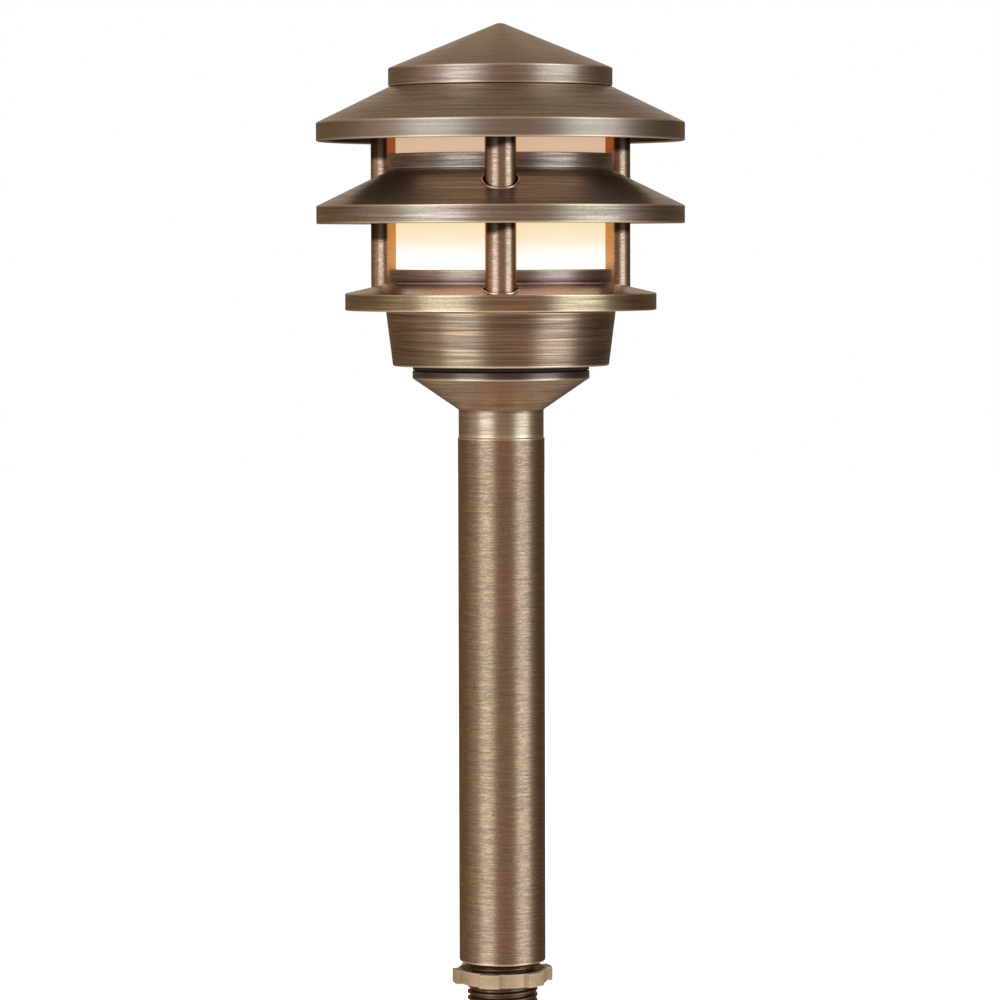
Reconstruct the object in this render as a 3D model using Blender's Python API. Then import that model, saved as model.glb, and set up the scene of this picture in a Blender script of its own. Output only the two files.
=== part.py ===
"""Three-tier pagoda path light in antique brass, standing on a threaded stem.

Run with: blender --background --python part.py
Heights are millimetres above the foot of the stem. The whole light hangs from one empty, which
lifts it until the lower end of the threaded nipple stands at zero.
"""

import math

import bmesh
import bpy

MM = 0.001
GAP = 0.3  # air between two pieces that rest on each other

# Facets round a turned piece
WIDE_FACETS = 48
NARROW_FACETS = 32
ROD_FACETS = 20

# Stem and the threaded nipple below it
STEM_RADIUS = 12.7
STEM_BORE = 10.4
STEM_TOP = 154.5
NIPPLE_DROP = 22.0
NIPPLE_GRIP = 14.0
NIPPLE_BORE = 7.9
SPIGOT_RADIUS = STEM_BORE - GAP
THREAD_PITCH = 1.814
THREAD_CREST = 10.35
THREAD_ROOT = 9.15
THREAD_FACETS = 24

# Lock nut on the nipple
NUT_TOP = -2.3
NUT_THICKNESS = 4.0
NUT_RADIUS = 13.2
NUT_BORE = THREAD_CREST + GAP
NUT_DISH = 12.3
LUG_RADIUS = 14.8
LUG_COUNT = 6
LUG_WIDTH = math.radians(25)
FIRST_LUG = math.radians(-106)

# Collar between stem and housing
NECK_RADIUS = 12.46
NECK_TOP = 162.6
DISC_RADIUS = 25.9
DISC_FOOT = 171.8
DISC_TOP = 174.0
COLLAR_BORE = 7.0
COLLAR_BOSS = 9.5
COLLAR_BOSS_TOP = 182.0
COLLAR_SPIGOT = 12.0

# Lamp housing, the drum under the plate
HOUSING_FOOT = 175.5
HOUSING_FOOT_RADIUS = 31.6
HOUSING_TOP_RADIUS = 33.6
HOUSING_WALL = 2.7
HOUSING_FLOOR = 3.0

# Plate that carries the glass
PLATE_FOOT = 191.7
PLATE_RADIUS = 45.5
PLATE_RIM_TOP = 196.65
PLATE_SLOPE = math.radians(13)
PLATE_HOLE = 22.0

# Glass cylinder with its ring and its seal
GLASS_RADIUS = 30.6
GLASS_WALL = 2.0
GLASS_TOP = 251.2
RING_RADIUS = 32.5
RING_HEIGHT = 3.8

# Roofs
ROOF_RADIUS = 53.8
ROOF_SLOPE = math.radians(26)
ROOF_WALL = 2.5
NECK_BAND_RADIUS = 32.7
MIDDLE_RIM_FOOT = 216.9
MIDDLE_RIM_TOP = 222.1
MIDDLE_BAND_TOP = 237.2
MIDDLE_BORE = GLASS_RADIUS + 0.4
UPPER_RIM_FOOT = 240.9
UPPER_RIM_TOP = 246.3
UPPER_FLAT = 256.45

# Cap on the upper roof
CAP_BAND_TOP = 262.1
CAP_APEX = 275.2
CAP_SLOPE = math.radians(22)
CAP_BOSS = 6.0
CAP_SPIGOT = 3.7
CAP_SPIGOT_FOOT = 250.5

# Posts between the tiers, with the screws that run up through them
POST_CIRCLE = 39.3
POST_RADIUS = 4.47
POST_ANGLES = {"front": -90, "back_right": 30, "back_left": 150}
POST_BORE = 2.3
SEAT_RADIUS = 5.45
BOSS_RADIUS = 6.8
PLATE_SEAT = 196.5
MIDDLE_BOSS_FOOT = 219.6
MIDDLE_SEAT = 226.3
UPPER_BOSS_FOOT = 243.3
SCREW_RADIUS = 2.0
SCREW_HEAD = 3.7
SCREW_TOP = 250.0

# Lamp and its holder
HOLDER_RADIUS = 11.0
HOLDER_STEP = 186.0
HOLDER_NECK = 8.0
HOLDER_TOP = 197.0
BULB_RADIUS = 6.0
BULB_TOP = 228.0

# Worn edges
EDGE = 0.5


def clear_scene():
    for thing in list(bpy.data.objects):
        bpy.data.objects.remove(thing, do_unlink=True)


def finish(name, colour, metallic, roughness):
    material = bpy.data.materials.new(name)
    material.use_nodes = True
    shader = material.node_tree.nodes["Principled BSDF"]
    shader.inputs["Base Color"].default_value = (*colour, 1.0)
    shader.inputs["Metallic"].default_value = metallic
    shader.inputs["Roughness"].default_value = roughness
    return material


def antique_brass(name):
    return finish(name, (0.19, 0.12, 0.075), 1.0, 0.38)


def raw_brass(name):
    return finish(name, (0.48, 0.35, 0.21), 1.0, 0.45)


def dark_brass(name):
    return finish(name, (0.10, 0.075, 0.055), 1.0, 0.5)


def frosted_glass(name):
    return finish(name, (0.92, 0.80, 0.66), 0.0, 0.6)


def black_rubber(name):
    return finish(name, (0.02, 0.02, 0.02), 0.0, 0.8)


def white_ceramic(name):
    return finish(name, (0.80, 0.78, 0.74), 0.0, 0.5)


def softened(corners):
    """Outline points in order; a corner with a third number is cut off by that much on both sides."""
    points = []
    for index, corner in enumerate(corners):
        radius, height, *cut = corner
        if not cut:
            points.append((radius, height))
            continue
        for other in (corners[index - 1], corners[(index + 1) % len(corners)]):
            along = (other[0] - radius, other[1] - height)
            share = cut[0] / math.hypot(*along)
            points.append((radius + along[0] * share, height + along[1] * share))
    return points


def add_object(name, mesh, look, parent):
    """The mesh as an object under the given parent, shaded smooth but for its edges."""
    mesh.materials.append(look(name))
    mesh.shade_smooth()
    mesh.set_sharp_from_angle(angle=math.radians(25))
    thing = bpy.data.objects.new(name, mesh)
    thing.parent = parent
    bpy.context.scene.collection.objects.link(thing)
    return thing


def turned_mesh(name, corners, facets):
    """A closed body turned about Z. Corners run clockwise: down the outer side and up the inner."""
    build = bmesh.new()
    rings = []
    for radius, height in softened(corners):
        if radius == 0:
            rings.append([build.verts.new((0, 0, height * MM))] * facets)
            continue
        turns = [2 * math.pi * step / facets for step in range(facets)]
        rings.append([
            build.verts.new((radius * math.cos(t) * MM, radius * math.sin(t) * MM, height * MM))
            for t in turns
        ])
    for ring, following in zip(rings, rings[1:] + rings[:1]):
        for step in range(facets):
            after = (step + 1) % facets
            loop = [ring[step], following[step], following[after], ring[after]]
            corners_left = list(dict.fromkeys(loop))
            if len(corners_left) > 2:
                build.faces.new(corners_left)
    mesh = bpy.data.meshes.new(name)
    build.to_mesh(mesh)
    build.free()
    return mesh


def turned(name, corners, look, parent, facets=WIDE_FACETS):
    return add_object(name, turned_mesh(name, corners, facets), look, parent)


def rod_corners(radius, foot, top):
    return [(0, top), (radius, top), (radius, foot), (0, foot)]


def on_post_circle(angle):
    turn = math.radians(angle)
    return POST_CIRCLE * math.cos(turn) * MM, POST_CIRCLE * math.sin(turn) * MM, 0


def shape_with(target, tool, operation):
    """Joins a helper body to the target, or cuts it out; the helper itself is never shown."""
    tool.hide_render = True
    tool.display_type = "WIRE"
    modifier = target.modifiers.new(tool.name, "BOOLEAN")
    modifier.operation = operation
    modifier.solver = "EXACT"
    modifier.object = tool


def tool_at(angle, name, corners, parent, facets=ROD_FACETS):
    tool = turned(name, corners, dark_brass, parent, facets)
    tool.location = on_post_circle(angle)
    return tool


def slope_height(radius, rim_top, rim_radius, slope):
    """Height of a coned surface at a radius, with its foot on the rim."""
    return rim_top + (rim_radius - radius) * math.tan(slope)


def boss(angle, name, foot, rim_top, parent):
    """A post boss whose upper end is cut to the roof's slope, half way into the roof's wall."""
    centre_x, centre_y, _ = on_post_circle(angle)
    half_wall = ROOF_WALL / 2 / math.cos(ROOF_SLOPE)
    build = bmesh.new()
    lower = []
    upper = []
    for step in range(ROD_FACETS):
        turn = 2 * math.pi * step / ROD_FACETS
        x = centre_x + BOSS_RADIUS * math.cos(turn) * MM
        y = centre_y + BOSS_RADIUS * math.sin(turn) * MM
        reach = max(math.hypot(x, y) / MM, NECK_BAND_RADIUS + 0.2)
        height = slope_height(reach, rim_top, ROOF_RADIUS, ROOF_SLOPE) - half_wall
        lower.append(build.verts.new((x, y, foot * MM)))
        upper.append(build.verts.new((x, y, height * MM)))
    build.faces.new(lower[::-1])
    build.faces.new(upper)
    for step in range(ROD_FACETS):
        after = (step + 1) % ROD_FACETS
        build.faces.new([lower[step], lower[after], upper[after], upper[step]])
    mesh = bpy.data.meshes.new(name)
    build.to_mesh(mesh)
    build.free()
    return add_object(name, mesh, antique_brass, parent)


def roof_corners(bore, top, band, rim_top, rim_foot):
    """A coned roof with an open underside; band is where its cone meets what stands on it."""
    inner_wall = ROOF_RADIUS - ROOF_WALL
    drop = ROOF_WALL / math.cos(ROOF_SLOPE)
    inner_rim = slope_height(inner_wall, rim_top, ROOF_RADIUS, ROOF_SLOPE) - drop
    return top + [
        (band, slope_height(band, rim_top, ROOF_RADIUS, ROOF_SLOPE)),
        (ROOF_RADIUS, rim_top, EDGE),
        (ROOF_RADIUS, rim_foot, EDGE),
        (inner_wall, rim_foot, EDGE),
        (inner_wall, inner_rim),
    ] + bore


def make_cap(parent):
    foot = UPPER_FLAT + GAP
    inner = NECK_BAND_RADIUS - ROOF_WALL
    drop = ROOF_WALL / math.cos(CAP_SLOPE)
    return turned("cap", [
        (0, CAP_APEX),
        (1.2, CAP_APEX - 0.3),
        (NECK_BAND_RADIUS, CAP_BAND_TOP, EDGE),
        (NECK_BAND_RADIUS, foot, EDGE),
        (inner, foot),
        (inner, slope_height(inner, CAP_BAND_TOP, NECK_BAND_RADIUS, CAP_SLOPE) - drop),
        (CAP_BOSS, slope_height(CAP_BOSS, CAP_BAND_TOP, NECK_BAND_RADIUS, CAP_SLOPE) - drop),
        (CAP_BOSS, foot),
        (CAP_SPIGOT, foot),
        (CAP_SPIGOT, CAP_SPIGOT_FOOT),
        (0, CAP_SPIGOT_FOOT),
    ], antique_brass, parent)


def make_upper_roof(parent):
    hole = CAP_SPIGOT + GAP
    flat_edge = ROOF_RADIUS - (UPPER_FLAT - UPPER_RIM_TOP) / math.tan(ROOF_SLOPE)
    ceiling = UPPER_FLAT - ROOF_WALL
    drop = ROOF_WALL / math.cos(ROOF_SLOPE)
    ceiling_edge = ROOF_RADIUS - (ceiling + drop - UPPER_RIM_TOP) / math.tan(ROOF_SLOPE)
    roof = turned("upper_roof", roof_corners(
        [(ceiling_edge, ceiling), (hole, ceiling)],
        [(hole, UPPER_FLAT)],
        flat_edge,
        UPPER_RIM_TOP,
        UPPER_RIM_FOOT,
    ), antique_brass, parent)
    for place, angle in POST_ANGLES.items():
        joined = boss(angle, f"upper_boss_{place}", UPPER_BOSS_FOOT, UPPER_RIM_TOP, parent)
        shape_with(roof, joined, "UNION")
    for place, angle in POST_ANGLES.items():
        corners = rod_corners(POST_BORE, UPPER_BOSS_FOOT - 2, SCREW_TOP + GAP)
        shape_with(roof, tool_at(angle, f"upper_hole_{place}", corners, parent), "DIFFERENCE")
    return roof


def make_middle_roof(parent):
    drop = ROOF_WALL / math.cos(ROOF_SLOPE)
    inner_top = slope_height(MIDDLE_BORE, MIDDLE_RIM_TOP, ROOF_RADIUS, ROOF_SLOPE) - drop
    roof = turned("middle_roof", roof_corners(
        [(MIDDLE_BORE, inner_top)],
        [(MIDDLE_BORE, MIDDLE_BAND_TOP), (NECK_BAND_RADIUS, MIDDLE_BAND_TOP, 0.4)],
        NECK_BAND_RADIUS,
        MIDDLE_RIM_TOP,
        MIDDLE_RIM_FOOT,
    ), antique_brass, parent)
    for place, angle in POST_ANGLES.items():
        joined = boss(angle, f"middle_boss_{place}", MIDDLE_BOSS_FOOT, MIDDLE_RIM_TOP, parent)
        shape_with(roof, joined, "UNION")
    for place, angle in POST_ANGLES.items():
        corners = [
            (0, MIDDLE_BAND_TOP),
            (SEAT_RADIUS, MIDDLE_BAND_TOP),
            (SEAT_RADIUS, MIDDLE_SEAT),
            (POST_BORE, MIDDLE_SEAT),
            (POST_BORE, MIDDLE_BOSS_FOOT - 2),
            (0, MIDDLE_BOSS_FOOT - 2),
        ]
        shape_with(roof, tool_at(angle, f"middle_seat_{place}", corners, parent), "DIFFERENCE")
    return roof


def make_plate(parent):
    inner_edge = RING_RADIUS + 0.4
    top = slope_height(inner_edge, PLATE_RIM_TOP, PLATE_RADIUS, PLATE_SLOPE)
    plate = turned("glass_plate", [
        (PLATE_HOLE, top),
        (inner_edge, top),
        (PLATE_RADIUS, PLATE_RIM_TOP, EDGE),
        (PLATE_RADIUS, PLATE_FOOT, EDGE),
        (PLATE_HOLE, PLATE_FOOT),
    ], antique_brass, parent)
    head = SCREW_HEAD + GAP
    for place, angle in POST_ANGLES.items():
        corners = [
            (0, top + 2),
            (SEAT_RADIUS, top + 2),
            (SEAT_RADIUS, PLATE_SEAT),
            (POST_BORE, PLATE_SEAT),
            (POST_BORE, PLATE_FOOT + head - POST_BORE),
            (head + 1, PLATE_FOOT - 1),
            (0, PLATE_FOOT - 1),
        ]
        shape_with(plate, tool_at(angle, f"plate_seat_{place}", corners, parent), "DIFFERENCE")
    return top


def make_glass(plate_top, parent):
    foot = plate_top + GAP
    inner = GLASS_RADIUS - GLASS_WALL
    turned("glass_cylinder", [
        (inner, GLASS_TOP),
        (GLASS_RADIUS, GLASS_TOP),
        (GLASS_RADIUS, foot),
        (inner, foot),
    ], frosted_glass, parent)
    ring_bore = GLASS_RADIUS + GAP
    turned("glass_ring", [
        (ring_bore, foot + RING_HEIGHT),
        (RING_RADIUS, foot + RING_HEIGHT, 0.4),
        (RING_RADIUS, foot),
        (ring_bore, foot),
    ], antique_brass, parent)
    seal_foot = GLASS_TOP + GAP
    seal_top = UPPER_FLAT - ROOF_WALL - GAP
    turned("glass_seal", [
        (inner - 0.3, seal_top),
        (GLASS_RADIUS + 0.6, seal_top),
        (GLASS_RADIUS + 0.6, seal_foot),
        (inner - 0.3, seal_foot),
    ], black_rubber, parent, NARROW_FACETS)


def make_housing(parent):
    top = PLATE_FOOT - GAP
    floor = HOUSING_FOOT + HOUSING_FLOOR
    hole = COLLAR_BOSS + GAP
    turned("lamp_housing", [
        (HOUSING_TOP_RADIUS - HOUSING_WALL, top),
        (HOUSING_TOP_RADIUS, top),
        (HOUSING_FOOT_RADIUS, HOUSING_FOOT, 1.0),
        (hole, HOUSING_FOOT),
        (hole, floor),
        (HOUSING_FOOT_RADIUS - HOUSING_WALL, floor),
    ], antique_brass, parent)
    turned("housing_seal", [
        (hole, HOUSING_FOOT - GAP),
        (DISC_RADIUS - 1.2, HOUSING_FOOT - GAP),
        (DISC_RADIUS - 1.2, DISC_TOP + GAP),
        (hole, DISC_TOP + GAP),
    ], black_rubber, parent, NARROW_FACETS)


def make_collar(parent):
    neck_foot = STEM_TOP + GAP
    turned("stem_collar", [
        (COLLAR_BORE, COLLAR_BOSS_TOP),
        (COLLAR_BOSS, COLLAR_BOSS_TOP),
        (COLLAR_BOSS, DISC_TOP),
        (DISC_RADIUS, DISC_TOP, EDGE),
        (DISC_RADIUS, DISC_FOOT, EDGE),
        (NECK_RADIUS, NECK_TOP),
        (NECK_RADIUS, neck_foot),
        (SPIGOT_RADIUS, neck_foot),
        (SPIGOT_RADIUS, neck_foot - COLLAR_SPIGOT),
        (COLLAR_BORE, neck_foot - COLLAR_SPIGOT),
    ], antique_brass, parent, NARROW_FACETS)


def make_stem(parent):
    turned("stem", [
        (STEM_BORE, STEM_TOP),
        (STEM_RADIUS, STEM_TOP, EDGE),
        (STEM_RADIUS, 0, 0.9),
        (STEM_BORE, 0),
    ], antique_brass, parent, NARROW_FACETS)


def thread_radius(step):
    """Radius at a quarter of a pitch: two steps on the crest and two in the root."""
    return THREAD_CREST if step % 4 < 2 else THREAD_ROOT


def make_nipple(parent):
    """A nipple whose lower part is a true helix: each column of points climbs a share of a pitch."""
    foot = -NIPPLE_DROP
    runout = -GAP
    quarter = THREAD_PITCH / 4
    first = -4
    last = math.ceil((runout - foot) / quarter) + 4
    build = bmesh.new()
    known = {}

    def vertex(column, radius, height):
        key = (column % THREAD_FACETS, round(radius, 4), round(height, 4))
        if key not in known:
            turn = 2 * math.pi * column / THREAD_FACETS
            known[key] = build.verts.new(
                (radius * math.cos(turn) * MM, radius * math.sin(turn) * MM, height * MM)
            )
        return known[key]

    def thread_point(column, step):
        height = foot + quarter * step + THREAD_PITCH * column / THREAD_FACETS
        if height <= foot + 0.05:
            return vertex(column, THREAD_ROOT, foot)
        if height >= runout - 0.05:
            return vertex(column, SPIGOT_RADIUS, runout)
        return vertex(column, thread_radius(step), height)

    def quad(corners):
        corners_left = list(dict.fromkeys(corners))
        if len(corners_left) > 2:
            build.faces.new(corners_left)

    plain = [
        (SPIGOT_RADIUS, runout),
        (SPIGOT_RADIUS, NIPPLE_GRIP),
        (NIPPLE_BORE, NIPPLE_GRIP),
        (NIPPLE_BORE, foot),
        (THREAD_ROOT, foot),
    ]
    for column in range(THREAD_FACETS):
        after = column + 1
        for step in range(first, last):
            quad([
                thread_point(column, step),
                thread_point(after, step),
                thread_point(after, step + 1),
                thread_point(column, step + 1),
            ])
        for near, far in zip(plain, plain[1:]):
            quad([
                vertex(column, *near),
                vertex(after, *near),
                vertex(after, *far),
                vertex(column, *far),
            ])
    mesh = bpy.data.meshes.new("threaded_nipple")
    build.to_mesh(mesh)
    build.free()
    add_object("threaded_nipple", mesh, dark_brass, parent)


def make_lock_nut(parent):
    """A flat ring with lugs round its edge and a dished top, extruded from its outline."""
    foot = NUT_TOP - NUT_THICKNESS
    spacing = 2 * math.pi / LUG_COUNT
    outline = []
    for lug in range(LUG_COUNT):
        centre = FIRST_LUG + lug * spacing
        flank = LUG_WIDTH / 2
        rest = spacing - LUG_WIDTH
        outline += [(LUG_RADIUS, centre + flank * share) for share in (-1, -0.5, 0, 0.5, 1)]
        outline += [(NUT_RADIUS, centre + flank + rest * share) for share in (0.06, 0.35, 0.65, 0.94)]
    build = bmesh.new()
    lower = [
        build.verts.new((radius * math.cos(turn) * MM, radius * math.sin(turn) * MM, foot * MM))
        for radius, turn in outline
    ]
    base = build.faces.new(lower)
    raised = bmesh.ops.extrude_face_region(build, geom=[base])
    risen = [item for item in raised["geom"] if isinstance(item, bmesh.types.BMVert)]
    bmesh.ops.translate(build, verts=risen, vec=(0, 0, NUT_THICKNESS * MM))
    bmesh.ops.recalc_face_normals(build, faces=build.faces)
    mesh = bpy.data.meshes.new("lock_nut")
    build.to_mesh(mesh)
    build.free()
    nut = add_object("lock_nut", mesh, raw_brass, parent)
    bore = turned("nut_bore", [
        (0, NUT_TOP + 1),
        (NUT_DISH + 0.5, NUT_TOP + 1),
        (NUT_DISH, NUT_TOP),
        (NUT_BORE, NUT_TOP - 1.7),
        (NUT_BORE, foot - 1),
        (0, foot - 1),
    ], dark_brass, parent, NARROW_FACETS)
    shape_with(nut, bore, "DIFFERENCE")


def make_posts(parent):
    """Every post stands in a seat below and meets a boss above; one long screw ties each pair."""
    spans = {
        "lower_post": (PLATE_SEAT + GAP, MIDDLE_BOSS_FOOT - GAP),
        "upper_post": (MIDDLE_SEAT + GAP, UPPER_BOSS_FOOT - GAP),
    }
    for place, angle in POST_ANGLES.items():
        for kind, (foot, top) in spans.items():
            post = turned(f"{kind}_{place}", [
                (POST_BORE, top),
                (POST_RADIUS, top, 0.25),
                (POST_RADIUS, foot, 0.25),
                (POST_BORE, foot),
            ], antique_brass, parent, ROD_FACETS)
            post.location = on_post_circle(angle)
        head_face = PLATE_FOOT + 0.1
        screw = turned(f"tie_screw_{place}", [
            (0, SCREW_TOP),
            (SCREW_RADIUS, SCREW_TOP, 0.4),
            (SCREW_RADIUS, head_face + SCREW_HEAD - SCREW_RADIUS),
            (SCREW_HEAD, head_face),
            (0, head_face),
        ], raw_brass, parent, ROD_FACETS)
        screw.location = on_post_circle(angle)


def make_lamp(parent):
    turned("lamp_holder", [
        (0, HOLDER_TOP),
        (HOLDER_NECK, HOLDER_TOP),
        (HOLDER_NECK, HOLDER_STEP),
        (HOLDER_RADIUS, HOLDER_STEP),
        (HOLDER_RADIUS, COLLAR_BOSS_TOP + GAP),
        (0, COLLAR_BOSS_TOP + GAP),
    ], white_ceramic, parent, ROD_FACETS)
    foot = HOLDER_TOP + GAP
    base = BULB_RADIUS * 0.75
    dome = [math.radians(turn) for turn in (67.5, 45, 22.5)]
    shoulder = BULB_TOP - BULB_RADIUS
    turned("lamp_bulb", [
        (0, BULB_TOP),
        *[(BULB_RADIUS * math.cos(t), shoulder + BULB_RADIUS * math.sin(t)) for t in dome],
        (BULB_RADIUS, shoulder),
        (BULB_RADIUS, foot + 4),
        (base, foot + 2),
        (base, foot),
        (0, foot),
    ], frosted_glass, parent, ROD_FACETS)


clear_scene()
light = bpy.data.objects.new("path_light", None)
light.location = (0, 0, NIPPLE_DROP * MM)
bpy.context.scene.collection.objects.link(light)

make_cap(light)
make_upper_roof(light)
make_middle_roof(light)
plate_top = make_plate(light)
make_glass(plate_top, light)
make_housing(light)
make_collar(light)
make_stem(light)
make_nipple(light)
make_lock_nut(light)
make_posts(light)
make_lamp(light)
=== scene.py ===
# %% [markdown]
# # A three-tier pagoda path light
# The real light is turned from bars and castings of brass, brushed, darkened to an antique finish
# and stacked: cap, two coned roofs, a plate with a frosted glass cylinder, a lamp housing, a
# collar, a long stem and a threaded nipple with its lock nut.
#
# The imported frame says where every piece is. It is loaded first, and each piece made below takes
# its place and its sizes from it.

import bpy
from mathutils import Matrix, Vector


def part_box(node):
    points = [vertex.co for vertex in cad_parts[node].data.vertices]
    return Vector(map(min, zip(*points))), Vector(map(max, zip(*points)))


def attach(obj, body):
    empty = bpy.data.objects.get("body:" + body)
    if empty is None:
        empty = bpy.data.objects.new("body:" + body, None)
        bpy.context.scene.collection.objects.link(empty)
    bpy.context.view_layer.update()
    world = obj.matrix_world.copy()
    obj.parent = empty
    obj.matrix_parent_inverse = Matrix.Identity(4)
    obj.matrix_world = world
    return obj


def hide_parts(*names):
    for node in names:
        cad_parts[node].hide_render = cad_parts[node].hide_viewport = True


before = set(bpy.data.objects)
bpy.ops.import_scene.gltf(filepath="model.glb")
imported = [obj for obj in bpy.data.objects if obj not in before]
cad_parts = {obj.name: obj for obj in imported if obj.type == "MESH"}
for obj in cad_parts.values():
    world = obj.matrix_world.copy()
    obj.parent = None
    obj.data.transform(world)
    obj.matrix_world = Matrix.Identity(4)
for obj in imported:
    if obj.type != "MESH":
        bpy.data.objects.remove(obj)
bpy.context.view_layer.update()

# %% [markdown]
# ## Reading sizes off the frame
# All drawings below are in millimetres, and heights count from the foot of the stem, as on a
# workshop drawing. Small helpers read a node's lowest point, highest point and radius from the
# frame, so that a piece fits its neighbours without any number being typed twice.

# %% Helpers that measure a node
import math
from functools import partial

import bpy
from mathutils import Vector

MM = 0.001
STEM_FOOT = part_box("stem")[0].z


def low(node):
    return (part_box(node)[0].z - STEM_FOOT) / MM


def high(node):
    return (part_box(node)[1].z - STEM_FOOT) / MM


def ends(node):
    return low(node), high(node)


def reach(node):
    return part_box(node)[1].x / MM


print("stem:", round(high("stem"), 2), "mm long,", round(2 * reach("stem"), 2), "mm across")

# %% [markdown]
# ## An outline with eased edges
# A turned piece is one outline swung round an axis. No machined edge is perfectly sharp, so every
# corner of the outline is eased by a small arc: that arc is what catches the light as a thin bright
# line. A point is also set just beside each arc, which keeps the flat next to it flat in the
# shading. Corners that stand proud are marked as worn, because hands and polishing rub them first.
# A corner's fourth number wears the flats beside it too, or with a minus keeps the corner dark.
#
# The points could be typed in, but an arc between two straight sides follows a rule, so only the
# corners are given and the rule does the rest.

# %% Ease the corners of an outline
ARC_STEP = math.radians(18)
HOLD = 0.22  # distance from an arc to the point that keeps its neighbour flat
BREAK = 0.15  # the least easing that any machined edge gets


def eased_corner(before, here, after, easing, beside):
    """Arc points (radius, height, worn) for one corner; beside is the wear of its holding points."""
    to_before = (before - here).normalized()
    to_after = (after - here).normalized()
    half_angle = to_before.angle(to_after) / 2
    setback = easing / math.tan(half_angle)
    centre = here + (to_before + to_after).normalized() * easing / math.sin(half_angle)
    start = here + to_before * setback - centre
    end = here + to_after * setback - centre
    steps = max(2, math.ceil((math.pi - 2 * half_angle) / ARC_STEP))
    proud = 1.0 if to_before.cross(to_after) > 0 and beside >= 0 else 0.0
    beside = max(beside, 0.0)
    points = [(*(here + to_before * (setback + HOLD)), beside)]
    for step in range(steps + 1):
        arm = start.lerp(end, step / steps).normalized() * easing
        points.append((*(centre + arm), proud))
    points.append((*(here + to_after * (setback + HOLD)), beside))
    return points


def outline(corners, closed=True):
    """Points of an outline that runs down its outer side and back up its inner side."""
    places = [Vector(corner[:2]) for corner in corners]
    points = []
    for index, corner in enumerate(corners):
        on_axis = not closed and index in (0, len(corners) - 1)
        easing = corner[2] if len(corner) > 2 else BREAK
        wear = corner[3] if len(corner) > 3 else 0.0
        if on_axis or easing == 0:
            points.append((*places[index], wear))
            continue
        after = places[(index + 1) % len(places)]
        points += eased_corner(places[index - 1], places[index], after, easing, wear)
    return points


square = outline([(5, 0), (5, 5), (0, 5)], closed=False)
print("a square corner has", len(square) - 2, "points")

# %% [markdown]
# ## Small helpers for node trees
# Both the shapes and the finishes are node trees. Building them in a script reads best when one
# call makes a node, sets its choices, plugs in its inputs and gives back its output, so that a tree
# reads from top to bottom like a recipe. An output knows the tree that it belongs to, so only a
# node that takes nothing in has to be told.

# %% Make a node, and the everyday sums
def is_wire(value):
    return isinstance(value, bpy.types.NodeSocket)


def plug(node, inputs):
    """Each input takes a plain value or a wire from another node."""
    for socket, value in inputs.items():
        if is_wire(value):
            node.id_data.links.new(value, node.inputs[socket])
        else:
            node.inputs[socket].default_value = value


def add_node(tree, kind, inputs=None, **choices):
    node = tree.nodes.new(kind)
    for choice, value in choices.items():
        setattr(node, choice, value)
    plug(node, inputs or {})
    return node


def source(tree, kind, output=0, inputs=None, **choices):
    """The output of a node that no wire goes into."""
    return add_node(tree, kind, inputs, **choices).outputs[output]


def wire(kind, inputs, output=0, **choices):
    """The output of a new node in the tree that its wires come from."""
    tree = next(value.id_data for value in inputs.values() if is_wire(value))
    return add_node(tree, kind, inputs, **choices).outputs[output]


def sum_of(operation, *values):
    return wire("ShaderNodeMath", dict(enumerate(values)), operation=operation)


times = partial(sum_of, "MULTIPLY")
plus = partial(sum_of, "ADD")
minus = partial(sum_of, "SUBTRACT")
over = partial(sum_of, "DIVIDE")
times_plus = partial(sum_of, "MULTIPLY_ADD")


def vector_sum(operation, *values, output=0):
    return wire("ShaderNodeVectorMath", dict(enumerate(values)), output, operation=operation)


def length_of(vector):
    return vector_sum("LENGTH", vector, output="Value")


def ramp(value, start, end, first=0.0, last=1.0, smooth=False):
    """Goes from first to last while the value goes from start to end."""
    kind = "SMOOTHSTEP" if smooth else "LINEAR"
    inputs = {"Value": value, "From Min": start, "From Max": end, "To Min": first, "To Max": last}
    return wire("ShaderNodeMapRange", inputs, interpolation_type=kind)


def split_up(vector):
    """A vector's parts, by their letters."""
    return add_node(vector.id_data, "ShaderNodeSeparateXYZ", {0: vector}).outputs


def point_at(x, y, z):
    return wire("ShaderNodeCombineXYZ", {"X": x, "Y": y, "Z": z})


# %% [markdown]
# ## The lathe, as a Geometry Nodes tree
# The Screw or Spin tools could swing an outline too, but a tree can do more at once. It sweeps
# the outline round a full turn, stores for every corner of every face the direction in which the
# tool travelled and the distance along the outline (brushed streaks follow these), unwraps the
# surface, and then welds the seam and the poles shut.
#
# The unwrapping is stored before the weld: each side of the seam keeps its own value, and nothing
# smears across it.

# %% Build the lathe tree
FULL_TURN = 2 * math.pi
WELD = 1e-6


def new_tree(name, wholes=(), sizes=()):
    """A tree with a mesh in and out and a finish; returns it with the sockets of its inputs."""
    tree = bpy.data.node_groups.new(name, "GeometryNodeTree")
    kinds = {"Mesh": "NodeSocketGeometry", **dict.fromkeys(wholes, "NodeSocketInt"),
             **dict.fromkeys(sizes, "NodeSocketFloat"), "Finish": "NodeSocketMaterial"}
    for label, kind in kinds.items():
        tree.interface.new_socket(label, in_out="INPUT", socket_type=kind)
    tree.interface.new_socket("Mesh", in_out="OUTPUT", socket_type="NodeSocketGeometry")
    return tree, add_node(tree, "NodeGroupInput").outputs


def named(tree, name, kind="FLOAT"):
    return source(tree, "GeometryNodeInputNamedAttribute", "Attribute", {"Name": name}, data_type=kind)


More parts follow.
